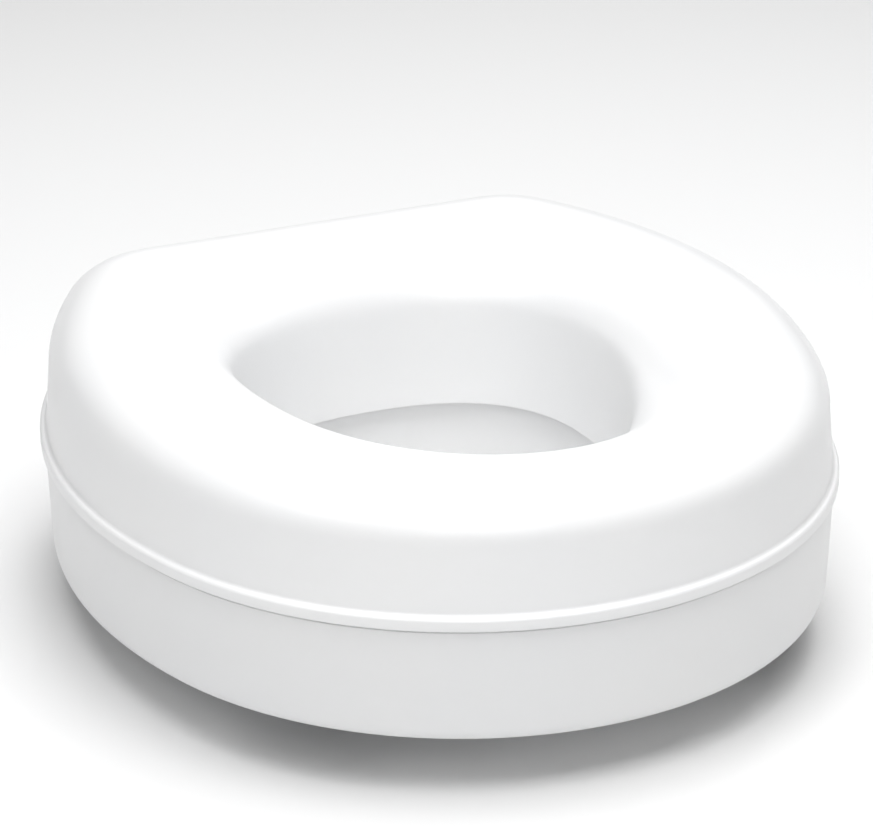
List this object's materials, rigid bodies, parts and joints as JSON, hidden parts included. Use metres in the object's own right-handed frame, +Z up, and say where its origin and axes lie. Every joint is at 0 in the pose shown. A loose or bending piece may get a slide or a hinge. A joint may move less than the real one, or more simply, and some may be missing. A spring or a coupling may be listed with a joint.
{
  "type": "raised toilet seat",
  "caption": "Raised toilet seat: a contoured seat moulding on a hollow riser base, with a skirt that drops into the bowl and sliding side brackets held by thumb nuts.",
  "frame": {"origin": "under the middle of the seat's outline, level with the bottom of the skirt that drops into the bowl", "axes": "+Z up, -Y towards the front of the seat, +X to the sitter's left"},
  "size_m": [0.3858, 0.399, 0.1558],
  "materials": {
    "shell_plastic": "gloss",
    "bracket_plastic": "satin",
    "pad_rubber": "matt",
    "fastener_steel": "zinc plated"
  },
  "bodies": {
    "riser": {"seat_shell": "shell_plastic", "base_shell": "shell_plastic", "shell_screw_1": "fastener_steel", "shell_screw_2": "fastener_steel", "shell_screw_3": "fastener_steel", "shell_screw_4": "fastener_steel", "shell_screw_5": "fastener_steel", "shell_screw_6": "fastener_steel", "shell_screw_7": "fastener_steel", "shell_screw_8": "fastener_steel", "rim_pad_rear_right": "pad_rubber", "rim_pad_rear_left": "pad_rubber", "rim_pad_front_left": "pad_rubber", "rim_pad_front_right": "pad_rubber"},
    "clamp_left": {"bracket_left": "bracket_plastic", "bracket_pad_left": "pad_rubber", "bracket_bolt_left": "fastener_steel"},
    "washer_left": {"bracket_washer_left": "fastener_steel"},
    "nut_left": {"thumb_nut_left": "bracket_plastic"},
    "clamp_right": {"bracket_right": "bracket_plastic", "bracket_pad_right": "pad_rubber", "bracket_bolt_right": "fastener_steel"},
    "washer_right": {"bracket_washer_right": "fastener_steel"},
    "nut_right": {"thumb_nut_right": "bracket_plastic"}
  },
  "joints": [
    {"name": "clamp_left_slide", "type": "slide", "parent": "riser", "child": "clamp_left", "axis": [-1, 0, 0], "range_m": [0, 0.012]},
    {"name": "washer_left_drop", "type": "slide", "parent": "clamp_left", "child": "washer_left", "axis": [0, 0, -1], "range_m": [0, 0.002]},
    {"name": "nut_left_turn", "type": "hinge", "parent": "washer_left", "child": "nut_left", "pos_m": [-0.113, 0.004, 0.015], "axis": [0, 0, -1], "range_deg": [0, 720]},
    {"name": "clamp_right_slide", "type": "slide", "parent": "riser", "child": "clamp_right", "axis": [1, 0, 0], "range_m": [0, 0.012]},
    {"name": "washer_right_drop", "type": "slide", "parent": "clamp_right", "child": "washer_right", "axis": [0, 0, -1], "range_m": [0, 0.002]},
    {"name": "nut_right_turn", "type": "hinge", "parent": "washer_right", "child": "nut_right", "pos_m": [0.113, 0.004, 0.015], "axis": [0, 0, -1], "range_deg": [0, 720]}
  ],
  "couplings": [
    {"joint": "washer_left_drop", "follows": "nut_left_turn", "m_per_rad": 0.00015915},
    {"joint": "washer_right_drop", "follows": "nut_right_turn", "m_per_rad": 0.00015915}
  ]
}
